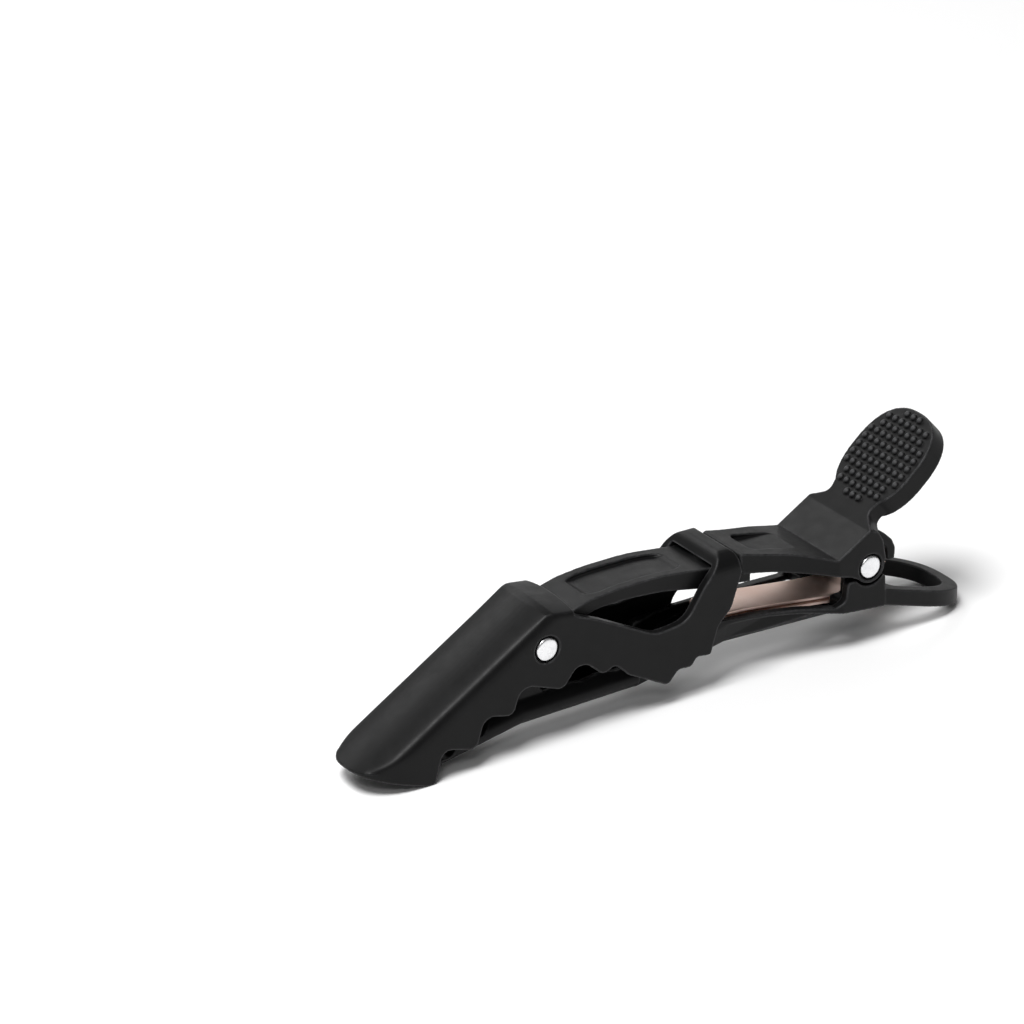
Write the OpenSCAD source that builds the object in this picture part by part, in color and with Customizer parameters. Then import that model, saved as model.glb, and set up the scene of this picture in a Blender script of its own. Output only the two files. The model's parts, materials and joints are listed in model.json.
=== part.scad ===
// Double-hinge sectioning clip for hair: a long lower jaw with a hanging loop, a thumb lever on
// the rear pin, a barrel-shaped front jaw that rocks on the front pin, and a folded leaf spring.
// Millimetres. +X runs from the nose to the loop, +Y across, +Z up. The clip is drawn closed, then
// tipped to stand on its front teeth and loop; the origin is on the resting plane below its middle.

/* [Front jaw] */
// Width across the side walls
jaw_w = 14.3; // [13.5:0.1:15]
// Wall thickness of the barrel and of its side rails
wall = 1.6; // [1.2:0.1:1.8]
// Slope of the barrel's top, degrees
barrel_slope = 32.3; // [30:0.1:34]
// How far the rounded nose stands ahead of the first tooth
nose_length = 10.8; // [9:0.1:11.5]

/* [Thumb lever] */
// Width of the strap that runs between the rails
strap_w = 10.2; // [9:0.1:10.4]
// Width of the plate and of the hinge ears
plate_w = 17; // [16:0.1:18]
// Slope of the thumb paddle, degrees
paddle_slope = 42.1; // [40:0.1:45]
// Length of the thumb paddle along its slope
paddle_length = 18.5; // [17.5:0.1:20]
// Width of the thumb paddle
paddle_w = 16; // [15:0.1:16.5]
// Height of the paddle's side wall, square to its face
paddle_t = 3.6; // [3:0.1:4]

/* [Lower jaw] */
// Width of the trough that nests between the rails
trough_w = 10.2; // [9.6:0.1:10.3]
// Wall thickness of the trough
trough_wall = 1.1; // [1:0.1:1.2]
// Width of the hanging loop
loop_w = 16.8; // [16:0.1:17]
// Slope of the loop behind the hinge, degrees
loop_slope = 16.2; // [15:0.1:18]

/* [Pins and spring] */
// Radius of both pin shafts
pin_r = 1.2; // [1:0.05:1.4]
// Radius of the flat pin heads
pin_head_r = 1.92; // [1.8:0.01:2]
// Radial running clearance of a pin in a turning part
pin_play = 0.05; // [0.02:0.01:0.08]
// Width of the leaf spring
spring_w = 7.6; // [7:0.1:7.6]
// Thickness of the spring strip
spring_t = 0.45; // [0.4:0.05:0.5]

/* [Hidden] */
$fn = 64;

// Reference points in the side view, measured from the first tooth's front corner
front_pin_at = [22.05, 17.7];
rear_pin_at = [83.3, 16.8];
loop_end_x = 105;
half_jaw = jaw_w / 2;
half_plate = plate_w / 2;
head_t = 0.6;
head_gap = 0.35;

// ---------- helpers ----------

// Corner points [x, y, r] turned into an outline whose corners are arcs of radius r
function unit(v) = v / norm(v);
function corner(a, b, c, r) =
    let (u = unit(a - b), w = unit(c - b), half = acos(max(-1, min(1, u * w))) / 2,
         d = min(r / tan(half), norm(a - b) / 2, norm(c - b) / 2), rr = d * tan(half),
         o = b + unit(u + w) * (rr / sin(half)), p = b + u * d, q = b + w * d,
         a0 = atan2(p[1] - o[1], p[0] - o[0]), a1 = atan2(q[1] - o[1], q[0] - o[0]),
         turn = ((a1 - a0 + 540) % 360) - 180, n = max(2, ceil(abs(turn) / 12)))
    [for (i = [0:n]) o + rr * [cos(a0 + turn * i / n), sin(a0 + turn * i / n)]];
function xy(p) = [p[0], p[1]];
function rounded(pts) =
    [for (i = [0:len(pts) - 1])
        let (n = len(pts), a = xy(pts[(i + n - 1) % n]), b = xy(pts[i]), c = xy(pts[(i + 1) % n]))
        each pts[i][2] > 0 ? corner(a, b, c, pts[i][2]) : [b]];

// Superellipse with half axes a and b
function oval(a, b, n, steps = 72) =
    [for (i = [0:steps - 1]) let (t = 360 * i / steps)
        [a * sign(cos(t)) * pow(abs(cos(t)), 2 / n), b * sign(sin(t)) * pow(abs(sin(t)), 2 / n)]];

// A side-view outline given thickness w across the clip, centred on the middle plane
module across(w) rotate([90, 0, 0]) linear_extrude(w, center = true) children();
// The same between two distances from the middle plane, on both sides
module both_sides(inner, outer)
    for (side = [-1, 1])
        translate([0, side * (inner + outer) / 2, 0]) across(outer - inner) children();
// A cylinder across the clip at a side-view point
module cross_bar(at, r, w)
    translate([at[0], 0, at[1]]) rotate([90, 0, 0]) cylinder(h = w, r = r, center = true);
// A plan-view outline standing through the whole height
module plan(low = -5, high = 45) translate([0, 0, low]) linear_extrude(high - low) children();
// A local frame at a side-view point whose x axis climbs at the given slope
module climbing(at, slope) translate([at[0], 0, at[1]]) rotate([0, -slope, 0]) children();

// ---------- front jaw ----------

// The barrel's top line: a slope up from the nose, then a short tail band down to the rear rim
barrel_top_z = 10.4;
kink_x = 22.0;
kink_z = barrel_top_z + kink_x * tan(barrel_slope);
tail_slope = -7;
rim_x = 27.2;
hoop_top = 25.1;
hoop_under = 23.35;

// Cross-section of the barrel: a crowned top, round shoulders and straight sides
module barrel_section(half, shoulder, crown, depth) {
    intersection() {
        union() {
            translate([-half, -depth]) square([2 * half, depth - shoulder]);
            translate([shoulder - half, -depth]) square([2 * (half - shoulder), depth]);
            for (s = [-1, 1]) translate([s * (half - shoulder), -shoulder]) circle(shoulder);
        }
        union() {
            translate([0, -crown]) circle(crown, $fn = 160);
            translate([-half, -depth]) square([2 * half, depth - 3]);
        }
    }
}

// A long bar of that section whose top line passes drop below a side-view point at a slope
module roof_bar(at, slope, half, shoulder, crown, drop)
    climbing(at, slope) translate([-60, 0, -drop]) rotate([90, 0, 90]) linear_extrude(120)
        barrel_section(half, shoulder, crown, 60);

// Angle by which the tail band's underside opens, so that the band thins to its rim
tail_thinning = 4;

// Everything under the barrel's top surface, offset inwards by drop
module under_roof(half, drop, thinning = 0)
    intersection() {
        roof_bar([0, barrel_top_z], barrel_slope, half, 3 - drop / 2, 20, drop);
        roof_bar([kink_x, kink_z - 0.25], (barrel_slope + tail_slope) / 2, half, 2.4 - drop / 2, 24, drop);
        roof_bar([kink_x, kink_z], tail_slope + thinning, half, 1.8 - drop / 2, 30, drop);
    }

// Rise of the nose's lower lip per millimetre ahead of the first tooth
lip_rise = 0.3;

// Side view of the jaw: sloped lip, wave teeth, rear fang, hoop, low rails and rear rim
module jaw_outline() polygon(rounded([
    [-14, 14 * lip_rise, 0], [0, 0, 0.6], [1.5, 0, 0.8],
    [2.9, 5.5, 1.6], [9.0, 3.9, 1.5],
    [10.6, 9.1, 1.9], [15.8, 7.9, 1.4],
    [17.3, 12.7, 2.2], [25.0, 10.0, 1.6],
    [27.6, 13.3, 2.0], [29.6, 13.1, 2.0], [32.6, 10.5, 1.5],
    [34.8, 11.7, 1.2], [37.4, 9.2, 1.5],
    [44.9, 5.4, 0.9], [46.9, 7.6, 1.0], [49.4, 7.5, 0.8],
    [50.4, 8.9, 0.8], [53.1, 8.6, 0.6],
    [54.5, 13.3, 3.0], [57.0, 15.9, 3.0], [58.9, 21.6, 1.2], [58.5, hoop_top, 1.4],
    [55.6, hoop_top + 0.1, 2.4], [51.6, 20.6, 8], [48.4, 15.6, 4], [42.6, 14.9, 5],
    [32, 20.2, 10], [rim_x, 22.2, 0], [rim_x, 32, 0], [-14, 32, 0]]));

// Plan of the rounded nose and of the straight walls behind it
nose_squareness = 2.63;
module nose_plan(half, length) {
    polygon([for (p = oval(length, half, nose_squareness, 120)) [min(p[0], 0.1), p[1]]]);
    translate([0, -half]) square([70, 2 * half]);
}

module front_jaw() color([0.06, 0.06, 0.065]) {
    difference() {
        union() {
            intersection() {
                under_roof(half_jaw, 0);
                plan() nose_plan(half_jaw, nose_length);
                across(jaw_w) jaw_outline();
            }
            // Side rails, the fang and the hoop, with the hoop's ends rounded over
            intersection() {
                across(jaw_w) jaw_outline();
                translate([24, 0, 0]) rotate([90, 0, 90]) linear_extrude(40)
                    polygon(rounded([[-half_jaw, 0, 0], [half_jaw, 0, 0],
                        [half_jaw, hoop_top, 3.2], [-half_jaw, hoop_top, 3.2]]));
                translate([rim_x + 0.05, -20, -1]) cube([40, 40, 40]);
            }
        }
        // Hollow of the barrel, open behind
        intersection() {
            under_roof(half_jaw - wall, wall, thinning = tail_thinning);
            plan() nose_plan(half_jaw - wall, nose_length - wall);
            translate([-20, -20, -5]) cube([50, 40, 40]);
        }
        // Slot between the rails, under the hoop and up through the long window
        translate([rim_x - 1, -half_jaw + wall, -1]) cube([50, jaw_w - 2 * wall, 16]);
        translate([rim_x, -half_jaw + wall, -1]) cube([50, jaw_w - 2 * wall, hoop_under + 1]);
        translate([rim_x, -half_jaw + wall, -1]) cube([53.4 - rim_x, jaw_w - 2 * wall, 40]);
        // Pin bore with a shallow seat for each head
        cross_bar(front_pin_at, pin_r, 40);
        both_sides(half_jaw - head_t, half_jaw + 1)
            translate(front_pin_at) circle(pin_head_r + head_gap);
    }
}

// ---------- thumb lever ----------

knuckle_r = 2.9;
knuckle_w = 9.2;
arch_front_x = 59.6;
crease = [76.9, 19.5];
plate_end = [82.9, 23.22];
paddle_centre = [91.63, 31.14];
boss_r = 2.8;
ear_t = 1.6;
roof_clearance = 0.3;
shroud_reach = 7.85;

// Side view of the strap: front knuckle root, low arch, and the lap under the hoop
module strap_outline() polygon(rounded([
    [20.8, 20.1, 1], [26.0, 20.9, 1.5], [28.6, 22.3, 2], [31.5, 23.1, 10], [37, 23.7, 30], [45, 23.8, 30],
    [53, 22.9, 12], [62, 21.6, 0], [62, 18.4, 0], [52, 19.6, 12], [45, 20.9, 20], [37, 21.4, 30],
    [31, 20.9, 12], [27, 18.6, 3], [22.0, 15.4, 1]]));

// Side view of the arch that drops to the hinge
module arch_outline() polygon(rounded([
    [arch_front_x, 23.9, 0.6], [63.5, 23.0, 20], [70, 21.7, 30], [crease[0], crease[1], 0],
    [plate_end[0], plate_end[1], 0], [84.6, 22.8, 0.8], [85.7, 21.0, 1], [86.35, 17.8, 1], [85.9, 16.2, 0],
    [81.0, 15.1, 0], [79.4, 15.9, 2],
    [74, 17.3, 12], [66, 19.3, 20], [60.2, 20.2, 0.6]]));
// The same, hollowed from below
module arch_hollow() polygon(rounded([
    [50, 21.0, 0], [63.2, 21.0, 10], [70, 19.5, 10], [76.5, 17.5, 3], [82.5, 21.2, 1], [90, 22.6, 0],
    [90, 10, 0], [50, 10, 0]]));

// Plan of the lever behind the hoop: a waisted flare out to the plate's full width
arch_half = 5.35;
function flare(x) = let (t = max(0, min(1, (x - 59) / 18)))
    arch_half + (half_plate - arch_half) * (0.45 * t + 0.55 * pow(t, 3));
module lever_plan(inset = 0) {
    edge = [for (x = [59:1.5:77]) [x, flare(x) - inset]];
    for (s = [0, 1]) mirror([0, s])
        polygon(concat([[58, 0], [58, arch_half - inset]], edge, [[87, half_plate - inset], [87, 0]]));
}

// Plans of the paddle and of its neck, drawn in the paddle's own plane
paddle_squareness = 2.45;
module paddle_plan(inset = 0)
    polygon(oval(paddle_length / 2 - inset, paddle_w / 2 - inset, paddle_squareness, 96));
neck_half = 5.25;
neck_t = 2.9;
module neck_plan()
    polygon(rounded([[-13, -half_plate, 0], [-11.5, -half_plate + 0.05, 0.5],
        [-9.3, -neck_half, 1.5], [-7, -5.9, 0], [-7, 5.9, 0],
        [-9.3, neck_half, 1.5], [-11.5, half_plate - 0.05, 0.5], [-13, half_plate, 0]]));

module thumb_lever() color([0.06, 0.06, 0.065]) {
    difference() {
        union() {
            strap();
            intersection() { across(plate_w) arch_outline(); plan() lever_plan(); }
            // Hinge bosses at the foot of the ears
            both_sides(half_plate - ear_t, half_plate) translate(rear_pin_at) circle(boss_r);
            // Neck behind the plate, and the paddle
            intersection() {
                climbing(paddle_centre, paddle_slope) translate([0, 0, -neck_t])
                    linear_extrude(neck_t) neck_plan();
                translate([plate_end[0], -20, 0]) cube([40, 40, 60]);
            }
            climbing(paddle_centre, paddle_slope) translate([0, 0, -paddle_t])
                linear_extrude(paddle_t) paddle_plan();
        }
        // Under the arch, between the ears
        intersection() { across(plate_w) arch_hollow(); plan() lever_plan(inset = ear_t); }
        // Under the strap, so that it is a channel with two side skirts
        across(strap_w - 2.6) polygon([
            [29, 10], [30.5, 20.6], [37, 21.9], [45, 22.0], [53, 21.0], [63, 19.6], [63, 10]]);
        // Long recess in the strap's top and short recess in the arch's top
        strap_recess();
        arch_recess();
        // Pocket under the paddle, which leaves a skirt around its face
        climbing(paddle_centre, paddle_slope) translate([0, 0, -paddle_t - 1])
            linear_extrude(1 + paddle_t - paddle_face_t) paddle_plan(inset = 1.5);
        cross_bar(front_pin_at, pin_r + pin_play, 40);
        cross_bar(rear_pin_at, pin_r, 40);
        both_sides(half_plate - head_t, half_plate + 1)
            translate(rear_pin_at) circle(pin_head_r + head_gap);
    }
    hinge_shroud();
    grip_nubs();
}

// The strap and its knuckle, kept clear of the underside of the barrel's roof
module strap()
    difference() {
        union() {
            across(strap_w) strap_outline();
            cross_bar(front_pin_at, knuckle_r, knuckle_w);
        }
        difference() {
            translate([10, -20, 10]) cube([rim_x + 0.3 - 10, 40, 20]);
            under_roof(half_jaw - wall, wall + roof_clearance, thinning = tail_thinning);
        }
    }

// Round-ended recess that follows the strap's crown
module strap_recess()
    intersection() {
        across(strap_w) polygon(rounded([
            [30, 30, 0], [30, 22.3, 6], [37, 23.05, 30], [45, 23.15, 30], [51.6, 22.5, 6], [51.6, 30, 0]]));
        plan() polygon(rounded([[30.6, -3.6, 3.5], [50.8, -3.3, 3.2], [50.8, 3.3, 3.2], [30.6, 3.6, 3.5]]));
    }

// Short recess with a steep front wall that runs out to the rear
module arch_recess()
    intersection() {
        across(8) polygon([[63.2, 30], [63.2, 22.0], [73.2, 20.9], [73.2, 30]]);
        plan() polygon(rounded([[63.2, -3.3, 1.5], [74, -3.5, 3.4], [74, 3.5, 3.4], [63.2, 3.3, 1.5]]));
    }

// Bent flap behind the hinge pin, whose foot bears on the spring's upper leg
module hinge_shroud()
    both_sides(-0.01, 4.8) translate(rear_pin_at) polygon(rounded([
        [-0.6, 5.0, 0], [1.0, 6.1, 0], [5.45, 3.2, 1], [7.0, 1.75, 0.8], [7.7, 0.2, 1], [7.6, -1.8, 0.3],
        [6.2, -1.8, 0.3], [6.1, 0.2, 1], [4.4, 2.3, 1], [1.2, 4.3, 0]]));

// Close rows of low round nubs over the paddle's face
paddle_face_t = 1.9;
nub_pitch = [1.6, 1.63];
nub_r = 0.5;
nub_rise = 0.25;
nub_margin = 0.9;
module grip_nubs()
    climbing(paddle_centre, paddle_slope) translate([0, 0, -0.1])
        for (row = [-5:5], col = [-4:4]) {
            x = row * nub_pitch[0];
            y = col * nub_pitch[1];
            inside = pow(abs(x) / (paddle_length / 2 - nub_margin), paddle_squareness)
                + pow(abs(y) / (paddle_w / 2 - nub_margin), paddle_squareness);
            if (inside < 1) translate([x, y, 0]) cylinder(h = nub_rise + 0.1, r = nub_r, $fn = 14);
        }

// ---------- lower jaw ----------

loop_t = 2.8;
loop_root_x = 87.5;
loop_root_z = 11.75;
cradle_r = 3.25;
inner_ear = [4.05, 5.15];

// Side view of the trough: belly below, toothed wall tops, and the rear arm up to the ears
module trough_outline() polygon(rounded([
    [-4.9, 0.45, 0.4], [4, 0.6, 6], [19, 3.6, 12], [42, 4.4, 12], [58, 7.7, 12],
    [70, 7.4, 12], [79, 7.4, 4], [88.2, 8.2, 0], [88.2, 11.2, 0], [79, 11.0, 1],
    [70, 11.5, 12], [58, 12.6, 12], [49, 12.5, 3],
    [45.0, 12.4, 2], [42.6, 9.3, 2], [37.5, 8.5, 2], [34.5, 8.9, 2],
    [31.0, 8.3, 2], [27.5, 8.7, 2], [23.8, 8.3, 1.2], [22.4, 10.5, 1.2], [18.4, 10.3, 1.6],
    [16.4, 7.3, 1.8], [13.6, 6.9, 1.8], [11.8, 4.7, 1.6], [7.4, 4.7, 1.6],
    [5.6, 2.6, 1.2], [1.6, 2.8, 1.2], [-2, 1.9, 1.5], [-4.9, 1.5, 0.5]]));
module trough_hollow() polygon(rounded([
    [-3.2, 1.5, 0.3], [4, 1.8, 6], [19, 4.8, 12], [42, 5.6, 12], [50.5, 10.0, 8],
    [57, 11.5, 8], [70, 10.7, 12], [79, 9.6, 3], [87, 9.6, 0], [87, 30, 0], [-3.2, 30, 0]]));

// Belly line of the trough as straight runs: its ends, the height at which the sides are widest,
// the height at which they turn in as a shoulder, and how far in the shoulder runs
BELLY = [[[-8, 0.3], [4, 0.6], 1.0, 1.6, 1.2], [[4, 0.6], [19, 3.6], 1.5, 3.0, 1.5],
    [[19, 3.6], [42, 4.4], 1.7, 3.1, 1.5], [[42, 4.4], [58, 7.7], 4.2, 6.0, 0.3],
    [[58, 7.7], [90, 7.1], 4.2, 6.0, 0.3]];
// Where one run ends and the next begins
BELLY_CUTS = [-8, 4, 19, 41, 58, 90];

// Hull-shaped cross-section: a narrow keel, flanks that lean out to full width, sloped shoulders
module hull_section(widest, shoulder, turn_in) {
    half = trough_w / 2;
    brow = half - 0.25;
    edge = [[half * 0.5, 0, 1.5], [half * 0.8, 0.8, 1.5], [half, widest, 1.2], [brow, shoulder, 1],
        [brow - turn_in, shoulder + turn_in, 0.6], [brow - turn_in - 0.1, shoulder + 12, 0]];
    polygon(rounded(concat(edge, [for (i = [len(edge) - 1:-1:0]) [-edge[i][0], edge[i][1], edge[i][2]]])));
}

// The hull along the whole belly line
module hull_bars()
    for (i = [0:len(BELLY) - 1]) {
        run = BELLY[i];
        slope = atan2(run[1][1] - run[0][1], run[1][0] - run[0][0]);
        intersection() {
            climbing(run[0], slope) translate([-20, 0, 0]) rotate([90, 0, 90]) linear_extrude(80)
                hull_section(run[2], run[3], run[4]);
            translate([BELLY_CUTS[i], -20, -20]) cube([BELLY_CUTS[i + 1] - BELLY_CUTS[i], 40, 60]);
        }
    }

// Plan of the toothed trough, and of its hollow, which widens behind for the spring
trough_front = 5.4;
module trough_plan() {
    half = trough_w / 2;
    polygon([for (p = oval(trough_front, half, 2.3)) [min(p[0], 0.1) + 0.5, p[1]]]);
    translate([0.5, -half]) square([87.7, 2 * half]);
}
hollow_half = 2.5;
module hollow_plan() {
    half = trough_w / 2 - trough_wall;
    polygon([for (p = oval(trough_front - 1.6, hollow_half, 2.3)) [min(p[0], 0.1) + 0.5, p[1]]]);
    translate([0.5, -hollow_half]) square([50, 2 * hollow_half]);
    polygon([[46, -hollow_half], [50, -half], [87, -half], [87, half], [50, half], [46, hollow_half]]);
}

// Plan of the rear rim, which flares out from the trough to the hinge ears
flare_x = 57;
module rim_plan(inset = 0) {
    edge = [for (x = [flare_x:1.5:flare_x + 21]) let (t = (x - flare_x) / 21)
        [x, trough_w / 2 + (half_plate - trough_w / 2) * (0.5 * t + 0.5 * pow(t, 2.5)) - inset]];
    for (s = [0, 1]) mirror([0, s])
        polygon(concat([[53, 0], [53, trough_w / 2 - inset]], edge,
            [[86.4, half_plate - inset], [86.4, 0]]));
}
// Side view of the thin rim
module rim_outline() polygon(rounded([
    [53, 11.9, 0], [58, 12.0, 8], [65.5, 11.6, 10], [71, 11.0, 10], [75.5, 10.2, 6], [78.6, 9.7, 3],
    [86.4, 9.1, 0.3], [86.4, 12.0, 0.3], [79, 11.4, 0], [77.2, 10.9, 2], [74.2, 11.35, 8],
    [71, 11.8, 10], [65.5, 12.3, 10], [58, 12.75, 10], [53, 12.7, 0]]));
// A keel-shaped bar that makes the set-back shell below the rim lean in as it goes down
module shell_bar()
    climbing([58, 7.6], -1.2) translate([-6, 0, 0]) rotate([90, 0, 90]) linear_extrude(40)
        polygon([[-8.5, 30], [-8.5, 5.0], [-3, 0], [3, 0], [8.5, 5.0], [8.5, 30]]);
// Side view of the set-back shell below the rim, and of the pocket in it
module shell_outline() polygon([
    [56, 9.6], [58, 9.3], [70, 8.4], [77, 8.0], [86, 8.2],
    [86, 11.0], [79, 11.0], [77, 10.5], [70, 11.5], [56, 12.3]]);
module shell_pocket() polygon([
    [57, 10.9], [70, 9.8], [77, 9.3], [78.4, 9.3], [78.4, 20], [57, 20]]);

// Side view of an outer hinge ear, cradling the lever's boss
module ear_outline() polygon(rounded([
    [76.6, 10.8, 0], [78.6, 11.9, 1.2], [78.9, 15.1, 0.8], [80.6, 14.9, 0.3], [84.2, 14.9, 0.3],
    [86.4, 15.0, 0.8], [86.4, 9.1, 0.3], [78.6, 9.7, 2], [76.6, 10.1, 0]]));

module lower_jaw() color([0.055, 0.055, 0.06]) {
    difference() {
        union() {
            intersection() {
                across(trough_w) trough_outline();
                plan() trough_plan();
                hull_bars();
            }
            intersection() { across(plate_w) rim_outline(); plan() rim_plan(); }
            intersection() {
                across(plate_w) shell_outline();
                plan() rim_plan(inset = 0.9);
                shell_bar();
            }
            intersection() {
                both_sides(half_plate - ear_t, half_plate) ear_outline();
                plan() rim_plan();
            }
            // Inner ears that carry the pin
            both_sides(inner_ear[0], inner_ear[1]) {
                translate(rear_pin_at) circle(boss_r);
                translate([rear_pin_at[0] - boss_r, 10]) square([2 * boss_r, rear_pin_at[1] - 10]);
            }
            hanging_loop();
        }
        intersection() {
            across(trough_w) trough_hollow();
            plan() hollow_plan();
        }
        intersection() { across(plate_w) shell_pocket(); plan() rim_plan(inset = 1.7); }
        // Opening through the loop
        loop_opening();
        // Sweep of the lever's shroud, and of its bosses in the cradles
        intersection() {
            cross_bar(rear_pin_at, shroud_reach + 0.35, 2 * inner_ear[1]);
            translate([rear_pin_at[0] + boss_r + 0.3, -20, 0]) cube(40);
        }
        both_sides(half_plate - ear_t - 0.3, half_plate + 1) translate(rear_pin_at) circle(cradle_r);
        cross_bar(rear_pin_at, pin_r + pin_play, 40);
    }
}

// Flat loop that slopes down behind the hinge, with a large opening to hang the clip by
loop_flank_x = 93;
loop_squareness = 2.7;
module loop_plan(front, inset) {
    reach = loop_end_x - loop_flank_x - inset * 1.25;
    half = loop_w / 2 - inset;
    translate([loop_flank_x, 0])
        polygon([for (p = oval(reach, half, loop_squareness, 96)) [max(p[0], -0.1), p[1]]]);
    polygon(rounded([[front, -half, 1.5], [loop_flank_x, -half, 0],
        [loop_flank_x, half, 0], [front, half, 1.5]]));
}
module hanging_loop()
    intersection() {
        climbing([loop_root_x, loop_root_z], -loop_slope)
            translate([-10, -20, -loop_t]) cube([50, 40, loop_t]);
        plan() loop_plan(85, 0);
    }
module loop_opening() plan() loop_plan(88.6, 2.1);

// ---------- pins and spring ----------

// A rivet: shaft and two flat round heads, turned as one profile
module rivet(at, width)
    translate([at[0], 0, at[1]]) rotate([90, 0, 0]) rotate_extrude()
        polygon([[0, -width / 2 - 0.1], [pin_head_r - 0.25, -width / 2 - 0.1],
            [pin_head_r, -width / 2 + 0.12], [pin_head_r, -width / 2 + head_t],
            [pin_r, -width / 2 + head_t], [pin_r, width / 2 - head_t],
            [pin_head_r, width / 2 - head_t], [pin_head_r, width / 2 - 0.12],
            [pin_head_r - 0.25, width / 2 + 0.1], [0, width / 2 + 0.1]]);
module front_pin() color([0.85, 0.85, 0.87]) rivet(front_pin_at, jaw_w);
module rear_pin() color([0.85, 0.85, 0.87]) rivet(rear_pin_at, plate_w);

// Strip of thickness t along a side-view path, as one outline
function offset_path(path, d) =
    [for (i = [0:len(path) - 1])
        let (a = path[max(0, i - 1)], b = path[min(len(path) - 1, i + 1)], u = unit(b - a))
        path[i] + d * [-u[1], u[0]]];
// Middle line of the folded spring: lower leg on the trough floor, a tight fold at the front,
// and the upper leg back under the pin and up to the lever's shroud
fold_at = [57.2, 12.5];
fold_r = 0.62;
spring_path = concat(
    [[86.0, 10.0], [79, 10.0], [70, 11.05], [fold_at[0] + 1.5, fold_at[1] - fold_r + 0.02]],
    [for (a = [-90:-20:-270]) fold_at + fold_r * [cos(a), sin(a)]],
    [[61.5, 12.98], [70, 12.0], [77, 11.2], [82, 10.95], [85.5, 11.5], [88, 12.9], [89.6, 14.55]]);
module leaf_spring() color([0.86, 0.62, 0.52])
    across(spring_w) polygon(concat(offset_path(spring_path, spring_t / 2),
        [for (i = [len(spring_path) - 1:-1:0]) offset_path(spring_path, -spring_t / 2)[i]]));

// ---------- assembly ----------

// The clip stands on its first teeth and on the loop's end, which tips the jaw line by this angle
tooth_x = 1;
loop_end_low = loop_root_z - (loop_end_x - loop_root_x) * tan(loop_slope) - loop_t / cos(loop_slope);
stand_tilt = atan(loop_end_low / (loop_end_x - tooth_x));
loop_end_high = loop_end_low + loop_t / cos(loop_slope);
mid_x = ((loop_end_x - nose_length) * cos(stand_tilt)
    + (loop_end_high + nose_length * lip_rise) * sin(stand_tilt)) / 2;
module standing() translate([-mid_x, 0, tooth_x * sin(stand_tilt)]) rotate([0, stand_tilt, 0]) children();

standing() lower_jaw();
standing() thumb_lever();
standing() front_jaw();
standing() rear_pin();
standing() front_pin();
standing() leaf_spring();
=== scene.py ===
import json
import math

import bmesh
import bpy
from mathutils import Matrix, Vector


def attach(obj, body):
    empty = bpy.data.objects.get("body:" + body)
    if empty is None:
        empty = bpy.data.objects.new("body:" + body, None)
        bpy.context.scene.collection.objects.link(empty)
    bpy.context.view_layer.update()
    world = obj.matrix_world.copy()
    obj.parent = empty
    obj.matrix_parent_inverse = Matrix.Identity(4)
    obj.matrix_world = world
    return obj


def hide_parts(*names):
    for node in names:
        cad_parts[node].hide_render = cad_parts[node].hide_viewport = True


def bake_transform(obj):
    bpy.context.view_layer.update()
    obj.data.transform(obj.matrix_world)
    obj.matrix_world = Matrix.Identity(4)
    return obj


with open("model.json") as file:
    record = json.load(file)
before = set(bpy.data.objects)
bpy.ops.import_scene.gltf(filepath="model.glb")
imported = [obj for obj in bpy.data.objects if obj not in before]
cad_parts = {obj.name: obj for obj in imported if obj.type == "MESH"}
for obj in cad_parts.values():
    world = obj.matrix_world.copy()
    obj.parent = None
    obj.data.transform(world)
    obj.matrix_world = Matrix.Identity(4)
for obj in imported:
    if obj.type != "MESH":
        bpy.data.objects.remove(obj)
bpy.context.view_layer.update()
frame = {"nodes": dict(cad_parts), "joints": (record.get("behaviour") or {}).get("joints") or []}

MM = 0.001

# Both hinges, from the frame
JOINTS = {j["name"]: Vector(j["pos_m"]) for j in frame["joints"]}
REAR_PIN = JOINTS["lever_hinge"]
FRONT_PIN = JOINTS["jaw_rock"]

# The clip stands tipped by this angle about the +Y axis
STAND_TILT = math.radians(2.0651)

# Thumb paddle: middle of its upper face and rise towards the tip; half length and half width in mm,
# with the exponent of its rounded outline
PADDLE_CENTRE = Vector((45.444, 0, 27.853)) * MM
PADDLE_SLOPE = math.radians(40.035)
PADDLE_HALF = (9.25, 8.0)
PADDLE_SQUARENESS = 2.45

# Grip nubs, in mm: up to NUB_ROWS along the paddle and NUB_COLUMNS across it on each side of the
# middle one, inside a bare rim of NUB_MARGIN; each reaches NUB_ROOT into the face
NUB_ROWS = 5
NUB_COLUMNS = 4
NUB_PITCH = (1.6, 1.63)
NUB_RADIUS = 0.64
NUB_HEIGHT = 0.55
NUB_MARGIN = 0.9
NUB_ROOT = 0.15

# Barrel, in mm: its sloped roof passes through ROOF_POINT (x, z) and ends at a kink ahead of the strap.
# The shoulders to round over lie outside SHOULDER_HALF_WIDTH, above SHOULDER_LOWEST and no more than
# SHOULDER_DEPTH under the roof, and fade out over SHOULDER_FADE before the kink
ROOF_SLOPE = math.radians(30.235)
ROOF_POINT = (-46.87, 10.43)
ROOF_KINK_X = -24.8
SHOULDER_HALF_WIDTH = 4.2
SHOULDER_LOWEST = 4.2
SHOULDER_DEPTH = 3.4
SHOULDER_FADE = 5

# Remeshing of the mouldings, in mm, and how far their edges are eased
VOXEL = 0.13
EASE_PASSES = 11
SHOULDER_PASSES = 140
KEPT_FACES = 0.4
WELD = 0.001

# Rivets, in mm
SHAFT_R = 1.2
HEAD_R = 1.92
HEAD_T = 0.6
CROWN = 0.12
BARREL_WIDTH = 14.3
HINGE_WIDTH = 17.0


# ---------- helpers ----------

def link(obj):
    """Puts obj in the scene and hands it back."""
    bpy.context.scene.collection.objects.link(obj)
    return obj


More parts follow.
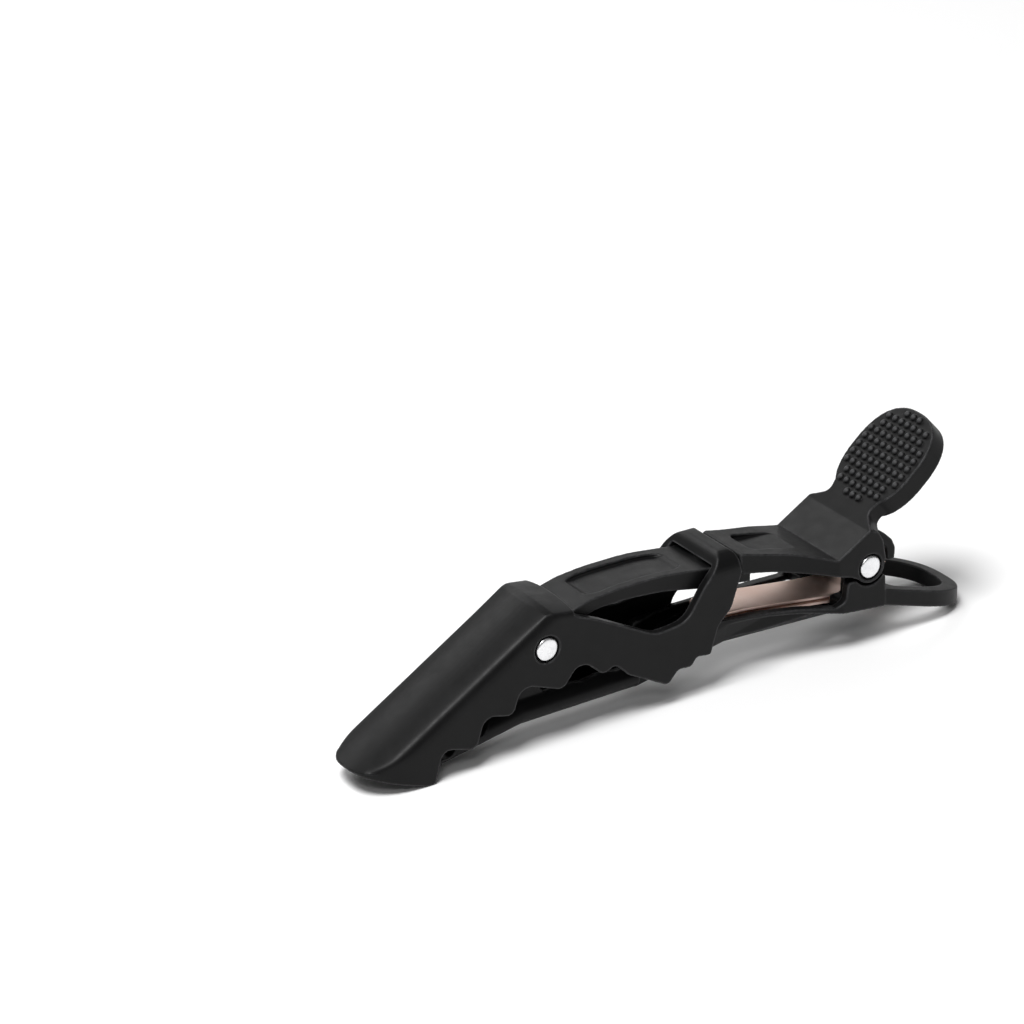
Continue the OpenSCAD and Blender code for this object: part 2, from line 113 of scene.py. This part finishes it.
def new_object(name, bm):
    """A linked, smooth-shaded object from a bmesh, which it frees."""
    bmesh.ops.recalc_face_normals(bm, faces=bm.faces)
    mesh = bpy.data.meshes.new(name)
    bm.to_mesh(mesh)
    bm.free()
    mesh.shade_smooth()
    return link(bpy.data.objects.new(name, mesh))


def finished(obj):
    """Replaces obj's mesh by its evaluated one and drops the modifiers."""
    graph = bpy.context.evaluated_depsgraph_get()
    mesh = bpy.data.meshes.new_from_object(obj.evaluated_get(graph))
    obj.modifiers.clear()
    old, obj.data = obj.data, mesh
    bpy.data.meshes.remove(old)
    return obj


def cad_bmesh(node):
    """A welded bmesh of the CAD node, in millimetres."""
    mesh = frame["nodes"][node].data.copy()
    mesh.materials.clear()
    mesh.transform(Matrix.Scale(1 / MM, 4))
    bm = bmesh.new()
    bm.from_mesh(mesh)
    bmesh.ops.remove_doubles(bm, verts=bm.verts, dist=WELD)
    bpy.data.meshes.remove(mesh)
    return bm


def eased(obj, name, passes, group=""):
    """Smooths obj, by the weights of a vertex group if one is named."""
    ease = obj.modifiers.new(name, "SMOOTH")
    ease.factor = 0.5
    ease.iterations = passes
    ease.vertex_group = group
    return finished(obj)


def moulded(node, name, body, soft=None):
    """The CAD node remeshed and eased, so that every edge has the small radius of a moulding.

    Points are eased much further, into a round shoulder, by the share that soft(x, y, z) gives.
    """
    obj = new_object(name, cad_bmesh(node))
    remesh = obj.modifiers.new("remesh", "REMESH")
    remesh.mode = "VOXEL"
    remesh.voxel_size = VOXEL
    eased(obj, "ease", EASE_PASSES)
    if soft is not None:
        group = obj.vertex_groups.new(name="soft")
        for v in obj.data.vertices:
            weight = soft(*v.co)
            if weight > 0:
                group.add([v.index], weight, "REPLACE")
        eased(obj, "round_over", SHOULDER_PASSES, "soft")
    thin = obj.modifiers.new("thin", "DECIMATE")
    thin.ratio = KEPT_FACES
    finished(obj)
    obj.vertex_groups.clear()
    obj.data.transform(Matrix.Scale(MM, 4))
    obj.data.shade_smooth()
    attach(obj, body)
    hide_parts(node)
    return obj


def barrel_shoulder(x, y, z):
    """One on the outer long edges of the barrel's roof, fading out before its kink; millimetres."""
    over_roof = (ROOF_POINT[0] - x) * math.sin(ROOF_SLOPE) + (z - ROOF_POINT[1]) * math.cos(ROOF_SLOPE)
    on_edge = abs(y) > SHOULDER_HALF_WIDTH and z > SHOULDER_LOWEST and over_roof > -SHOULDER_DEPTH
    return min(1, (ROOF_KINK_X - x) / SHOULDER_FADE) if on_edge else 0


def lathe(profile, steps=96):
    """A bmesh turned about +Y from (radius, y) points that start and end on the axis."""
    bm = bmesh.new()
    rings = []
    for r, y in profile:
        if r < 1e-9:
            rings.append([bm.verts.new((0, y, 0))])
        else:
            rings.append([bm.verts.new((r * math.cos(2 * math.pi * i / steps), y,
                                        r * math.sin(2 * math.pi * i / steps))) for i in range(steps)])
    for a, b in zip(rings, rings[1:]):
        for i in range(steps):
            j = (i + 1) % steps
            corners = [a[i % len(a)], a[j % len(a)], b[j % len(b)], b[i % len(b)]]
            unique = list(dict.fromkeys(corners))
            if len(unique) > 2:
                bm.faces.new(unique)
    return bm


# ---------- materials ----------

class Nodes:
    """Short forms for building a material's node tree."""

    def __init__(self, name):
        self.material = bpy.data.materials.new(name)
        self.material.use_nodes = True
        self.tree = self.material.node_tree
        self.shader = self.tree.nodes["Principled BSDF"]

    def add(self, kind, **values):
        """A new shader node with its properties set."""
        node = self.tree.nodes.new("ShaderNode" + kind)
        for key, value in values.items():
            setattr(node, key, value)
        return node

    def wire(self, a, b):
        """Links output a to input b."""
        self.tree.links.new(a, b)

    def texture(self, kind, scale, at, stretch=(1, 1, 1), **inputs):
        """A texture on object coordinates in millimetres, stretched per axis."""
        place = self.add("TexCoord")
        mapping = self.add("Mapping")
        mapping.inputs["Scale"].default_value = [s / MM for s in stretch]
        mapping.inputs["Location"].default_value = at
        self.wire(place.outputs["Object"], mapping.inputs["Vector"])
        node = self.add(kind)
        self.wire(mapping.outputs["Vector"], node.inputs["Vector"])
        node.inputs["Scale"].default_value = scale
        for key, value in inputs.items():
            node.inputs[key].default_value = value
        return node

    def ramp(self, source, *stops):
        """A colour ramp through (position, grey or colour) stops."""
        node = self.add("ValToRGB")
        ramp = node.color_ramp
        while len(ramp.elements) < len(stops):
            ramp.elements.new(0.5)
        for element, (at, value) in zip(ramp.elements, stops):
            element.position = at
            element.color = (*value, 1) if isinstance(value, tuple) else (value, value, value, 1)
        self.wire(source, node.inputs["Fac"])
        return node.outputs["Color"]

    def bump(self, height, distance, strength, under=None):
        """A bump, on top of the normal of another one if that is given."""
        node = self.add("Bump")
        node.inputs["Distance"].default_value = distance
        node.inputs["Strength"].default_value = strength
        self.wire(height, node.inputs["Height"])
        if under is not None:
            self.wire(under, node.inputs["Normal"])
        return node.outputs["Normal"]

    def paddle_height(self):
        """Rises from nought on the paddle's face to one at the tips of its nubs."""
        place = self.add("TexCoord")
        above = self.add("VectorMath", operation="SUBTRACT")
        self.wire(place.outputs["Object"], above.inputs[0])
        above.inputs[1].default_value = PADDLE_CENTRE
        along = self.add("VectorMath", operation="DOT_PRODUCT")
        self.wire(above.outputs[0], along.inputs[0])
        along.inputs[1].default_value = [v / (NUB_HEIGHT * MM) for v in
                                         (-math.sin(PADDLE_SLOPE), 0, math.cos(PADDLE_SLOPE))]
        return self.ramp(along.outputs["Value"], (0.25, 0.0), (0.6, 0.25), (0.97, 1.0))

    def edges(self, radius):
        """One on outer edges sharper than the radius, nothing on flats and in inner corners."""
        geometry = self.add("NewGeometry")
        rounded = self.add("Bevel", samples=6)
        rounded.inputs["Radius"].default_value = radius
        alike = self.add("VectorMath", operation="DOT_PRODUCT")
        self.wire(rounded.outputs["Normal"], alike.inputs[0])
        self.wire(geometry.outputs["Normal"], alike.inputs[1])
        both = self.add("Math", operation="MULTIPLY")
        self.wire(self.ramp(alike.outputs["Value"], (0.955, 1.0), (0.996, 0.0)), both.inputs[0])
        self.wire(self.ramp(geometry.outputs["Pointiness"], (0.495, 0.0), (0.51, 1.0)), both.inputs[1])
        return both.outputs[0]

    def mix(self, factor, a, b):
        """Colour a turning into colour b by a number or an output; either may be an output too."""
        node = self.add("Mix", data_type="RGBA")
        if isinstance(factor, (int, float)):
            node.inputs[0].default_value = factor
        else:
            self.wire(factor, node.inputs[0])
        for socket, value in ((node.inputs[6], a), (node.inputs[7], b)):
            if isinstance(value, tuple):
                socket.default_value = (*value, 1)
            else:
                self.wire(value, socket)
        return node.outputs[2]


def plastic(name, seed, base=0.0042, rough=0.4, tips=False):
    """Black moulded plastic: fine spark-eroded grain, faint cloudiness, outer edges painted paler,
    partly as rubbed wear and partly as a painted highlight.

    The seed moves the textures; the last flag is for the nubs: painted shade low between them and a
    painted highlight on their tops.
    """
    n = Nodes(name)
    shift = (seed * 7.1, seed * 3.3, seed * 5.7)
    cloud = n.texture("TexNoise", 0.16, shift, Detail=3.0)
    tone = n.ramp(cloud.outputs["Fac"], (0.3, (base * 0.9, base * 0.9, base * 0.93)),
                  (0.7, (base * 1.15, base * 1.15, base * 1.2)))
    # Outer edges painted paler: partly rubbed wear, partly a painted highlight along the rounded edges
    edge_wear_and_highlight = n.edges(0.45 * MM)
    patchy = n.texture("TexNoise", 0.7, shift, Detail=5.0, Roughness=0.65)
    broken = n.add("Math", operation="MULTIPLY")
    n.wire(edge_wear_and_highlight, broken.inputs[0])
    n.wire(n.ramp(patchy.outputs["Fac"], (0.35, 0.45), (0.65, 1.0)), broken.inputs[1])
    wear_and_painted_light = n.mix(broken.outputs[0], tone, (0.085, 0.085, 0.088))
    # Nubs: painted shade at their roots, between them, and a painted highlight on their tops, in place
    # of the edge tone
    if tips:
        wear_and_painted_light = n.mix(n.paddle_height(), (base * 0.3, base * 0.3, base * 0.3), (0.05, 0.05, 0.052))
    specks = n.texture("TexNoise", 2.6, shift, Detail=2.0)
    n.wire(n.mix(n.ramp(specks.outputs["Fac"], (0.71, 0.0), (0.78, 0.5)), wear_and_painted_light,
                 (base * 3.4, base * 3.4, base * 3.3)), n.shader.inputs["Base Color"])
    sheen = n.texture("TexNoise", 0.45, shift, Detail=4.0, Roughness=0.6)
    n.wire(n.ramp(sheen.outputs["Fac"], (0.25, rough - 0.05), (0.75, rough + 0.07)),
           n.shader.inputs["Roughness"])
    grain = n.texture("TexVoronoi", 6.5, shift, Randomness=1.0)
    fine = n.texture("TexNoise", 11.0, shift, Detail=2.0)
    flow = n.texture("TexNoise", 0.32, shift, stretch=(0.5, 1.6, 1.6), Detail=2.0)
    low = n.bump(flow.outputs["Fac"], 0.02 * MM, 0.5)
    mid = n.bump(grain.outputs["Distance"], 0.012 * MM, 0.55, low)
    n.wire(n.bump(fine.outputs["Fac"], 0.006 * MM, 0.5, mid), n.shader.inputs["Normal"])
    n.shader.inputs["Specular IOR Level"].default_value = 0.15
    return n.material


def turned_steel(name):
    """Bright rivet steel with turning rings and a slight cloudiness."""
    n = Nodes(name)
    n.shader.inputs["Metallic"].default_value = 1.0
    haze = n.texture("TexNoise", 0.9, (0, 0, 0), Detail=4.0)
    n.wire(n.ramp(haze.outputs["Fac"], (0.3, (0.74, 0.74, 0.75)), (0.7, (0.86, 0.86, 0.87))),
           n.shader.inputs["Base Color"])
    n.wire(n.ramp(haze.outputs["Fac"], (0.3, 0.2), (0.75, 0.36)), n.shader.inputs["Roughness"])
    rings = n.texture("TexWave", 3.2, (0, 0, 0), Distortion=0.4, Detail=2.0)
    rings.wave_type = "RINGS"
    rings.rings_direction = "Y"
    n.wire(n.bump(rings.outputs["Fac"], 0.008 * MM, 0.35), n.shader.inputs["Normal"])
    return n.material


def spring_steel(name):
    """Copper-tinted strip with rolling lines along its length and darker heat patches."""
    n = Nodes(name)
    n.shader.inputs["Metallic"].default_value = 0.75
    lines = n.texture("TexNoise", 1.0, (0, 0, 0), stretch=(0.05, 9.0, 9.0), Detail=5.0, Roughness=0.7)
    patch = n.texture("TexNoise", 0.22, (4, 2, 1), Detail=3.0)
    tint = n.ramp(patch.outputs["Fac"], (0.3, (0.9, 0.66, 0.56)), (0.7, (0.97, 0.78, 0.7)))
    streak = n.ramp(lines.outputs["Fac"], (0.35, (0.84, 0.6, 0.5)), (0.65, (0.98, 0.8, 0.73)))
    n.wire(n.mix(0.4, tint, streak), n.shader.inputs["Base Color"])
    n.wire(n.ramp(lines.outputs["Fac"], (0.3, 0.44), (0.7, 0.58)), n.shader.inputs["Roughness"])
    n.wire(n.bump(lines.outputs["Fac"], 0.01 * MM, 0.4), n.shader.inputs["Normal"])
    return n.material


def floor_white(name):
    """Matt white paper with a very faint unevenness."""
    n = Nodes(name)
    paper = n.texture("TexNoise", 0.004, (0, 0, 0), Detail=2.0)
    n.wire(n.ramp(paper.outputs["Fac"], (0.3, 0.9), (0.7, 0.93)), n.shader.inputs["Base Color"])
    n.shader.inputs["Roughness"].default_value = 0.85
    n.shader.inputs["Specular IOR Level"].default_value = 0.1
    return n.material


# ---------- the three mouldings ----------

MOULDINGS = (("lower_jaw", "lower_jaw_moulding", "base", 1, None),
             ("thumb_lever", "thumb_lever_moulding", "lever", 2, None),
             ("front_jaw", "front_jaw_moulding", "jaw", 3, barrel_shoulder))
for node, name, body, seed, soft in MOULDINGS:
    piece = moulded(node, name, body, soft)
    piece.data.materials.append(plastic(name + "_plastic", seed))


# ---------- grip nubs on the thumb paddle ----------

def add_nub(bm, x, y, steps=14, rings=5):
    """A low dome at (x, y), whose last ring sinks into the face below."""
    top = bm.verts.new((x, y, NUB_HEIGHT))
    last = None
    for k in range(1, rings + 1):
        tilt = math.pi / 2 * k / rings
        height = NUB_HEIGHT * math.cos(tilt) if k < rings else -NUB_ROOT
        ring = [bm.verts.new((x + NUB_RADIUS * math.sin(tilt) * math.cos(2 * math.pi * i / steps),
                              y + NUB_RADIUS * math.sin(tilt) * math.sin(2 * math.pi * i / steps),
                              height)) for i in range(steps)]
        for i in range(steps):
            j = (i + 1) % steps
            bm.faces.new((top, ring[i], ring[j]) if last is None
                         else (last[i], ring[i], ring[j], last[j]))
        last = ring
    bm.faces.new(last)


def nub_field():
    """Close rows of low domes standing on the paddle's face, within its rounded outline."""
    bm = bmesh.new()
    for row in range(-NUB_ROWS, NUB_ROWS + 1):
        for col in range(-NUB_COLUMNS, NUB_COLUMNS + 1):
            x = row * NUB_PITCH[0]
            y = col * NUB_PITCH[1]
            reach = sum((abs(v) / (half - NUB_MARGIN)) ** PADDLE_SQUARENESS
                        for v, half in zip((x, y), PADDLE_HALF))
            if reach < 1:
                add_nub(bm, x, y)
    bm.transform(Matrix.Translation(PADDLE_CENTRE) @ Matrix.Rotation(-PADDLE_SLOPE, 4, "Y")
                 @ Matrix.Scale(MM, 4))
    return bm


nubs = new_object("paddle_grip_nubs", nub_field())
# The nubs' colour carries painted shade between them and a painted highlight on their tops
nubs.data.materials.append(plastic("grip_nub_plastic", 4, rough=0.45, tips=True))
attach(nubs, "lever")


# ---------- rivets ----------

def rivet(name, node, body, centre, width):
    """Shaft with two flat, slightly crowned heads whose rims are rolled."""
    half = width / 2
    face = half - 0.02
    right = [(0, face + CROWN), (0.7, face + CROWN * 0.93), (1.25, face + CROWN * 0.75),
             (1.62, face + CROWN * 0.4), (1.8, face - 0.02), (1.89, face - 0.12), (HEAD_R, face - 0.25),
             (HEAD_R, half - HEAD_T), (SHAFT_R, half - HEAD_T)]
    profile = right + [(r, -y) for r, y in reversed(right)]
    bm = lathe(profile)
    bm.transform(Matrix.Scale(MM, 4))
    obj = new_object(name, bm)
    obj.location = centre
    obj.data.materials.append(turned_steel(name + "_steel"))
    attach(obj, body)
    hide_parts(node)
    return obj


rivet("front_rivet", "front_pin", "jaw", FRONT_PIN, BARREL_WIDTH)
rivet("rear_rivet", "rear_pin", "lever", REAR_PIN, HINGE_WIDTH)


# ---------- leaf spring ----------

# Cuts along the strip and across it, in mm
SPRING_HALF_WIDTH = 3
SPRING_CUT_FROM = 10.5
SPRING_CUT_STEP = 0.75
SPRING_CUTS = 44
SPRING_EDGE = 0.07


def cut(bm, at, normal):
    """Cuts the whole bmesh along the plane through a point with this normal."""
    bmesh.ops.bisect_plane(bm, geom=bm.verts[:] + bm.edges[:] + bm.faces[:], dist=1e-5,
                           plane_co=at, plane_no=normal)


def leaf_spring():
    """The folded strip with its long edges broken."""
    bm = cad_bmesh("leaf_spring")
    bmesh.ops.dissolve_limit(bm, angle_limit=math.radians(1), verts=bm.verts, edges=bm.edges)
    for y in range(-SPRING_HALF_WIDTH, SPRING_HALF_WIDTH + 1):
        cut(bm, (0, y, 0), (0, 1, 0))
    for i in range(SPRING_CUTS):
        cut(bm, (SPRING_CUT_FROM + SPRING_CUT_STEP * i, 0, 0), (1, 0, 0))
    bmesh.ops.triangulate(bm, faces=bm.faces)
    obj = new_object("leaf_spring_strip", bm)
    bevel = obj.modifiers.new("edges", "BEVEL")
    bevel.width = SPRING_EDGE
    bevel.segments = 2
    bevel.limit_method = "ANGLE"
    bevel.angle_limit = math.radians(50)
    finished(obj)
    obj.data.transform(Matrix.Scale(MM, 4))
    obj.data.shade_smooth()
    obj.data.materials.append(spring_steel("leaf_spring_steel"))
    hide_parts("leaf_spring")
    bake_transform(obj)
    return obj


leaf_spring()


# ---------- floor, light and camera ----------

FLOOR_HALF = 4.0
DAYLIGHT = 0.18

bm = bmesh.new()
bmesh.ops.create_grid(bm, x_segments=8, y_segments=8, size=FLOOR_HALF)
floor = new_object("floor", bm)
floor.data.materials.append(floor_white("floor_white"))


def area_light(name, place, target, size, power):
    """A rectangular soft light, aimed from its place at the target."""
    data = bpy.data.lights.new(name, "AREA")
    data.shape = "RECTANGLE"
    data.size, data.size_y = size
    data.energy = power
    light = link(bpy.data.objects.new(name, data))
    light.location = place
    light.rotation_euler = (Vector(target) - Vector(place)).to_track_quat("-Z", "Y").to_euler()
    return light


# Name, place and target in metres, size in metres, power in watts
LIGHTS = (("overhead", (-0.33, -0.15, 0.87), (0, 0, 0.01), (0.36, 0.36), 9.0),
          ("far_panel", (-0.02, 0.85, 0.70), (0, 0, 0.02), (0.62, 0.5), 3.4),
          ("low_panel", (0.62, 0.85, 0.50), (0, 0, 0.02), (0.6, 0.5), 1.3),
          ("front_strip", (-0.50, -0.62, 0.72), (0, 0, 0.02), (0.2, 0.16), 1.0))
for light in LIGHTS:
    area_light(*light)

world = bpy.data.worlds.new("studio")
bpy.context.scene.world = world
world.use_nodes = True
world.node_tree.nodes["Background"].inputs["Color"].default_value = (1, 1, 1, 1)
world.node_tree.nodes["Background"].inputs["Strength"].default_value = DAYLIGHT

# The viewpoint and its axes as fitted to the closed clip, then tipped as the clip stands
CLIP_ORIGIN = Vector((-47.248, 0, 0.036)) * MM
VIEWPOINT = Vector((-388.76, -630.33, 380.48)) * MM
VIEW_RIGHT = Vector((0.83896, -0.54419, 0))
VIEW_UP = Vector((0.22520, 0.34719, 0.91035))
SENSOR_WIDTH = 36
FOCAL_LENGTH = 188.1

camera_data = bpy.data.cameras.new("camera")
camera_data.sensor_width = SENSOR_WIDTH
camera_data.lens = FOCAL_LENGTH
camera_data.clip_start = 0.01
camera = link(bpy.data.objects.new("camera", camera_data))
turn = Matrix.Rotation(STAND_TILT, 4, "Y")
axes = Matrix((VIEW_RIGHT, VIEW_UP, VIEW_RIGHT.cross(VIEW_UP))).transposed().to_4x4()
camera.matrix_world = Matrix.Translation(CLIP_ORIGIN) @ turn @ Matrix.Translation(VIEWPOINT) @ axes
bpy.context.scene.camera = camera

bpy.context.scene.view_settings.view_transform = "Standard"
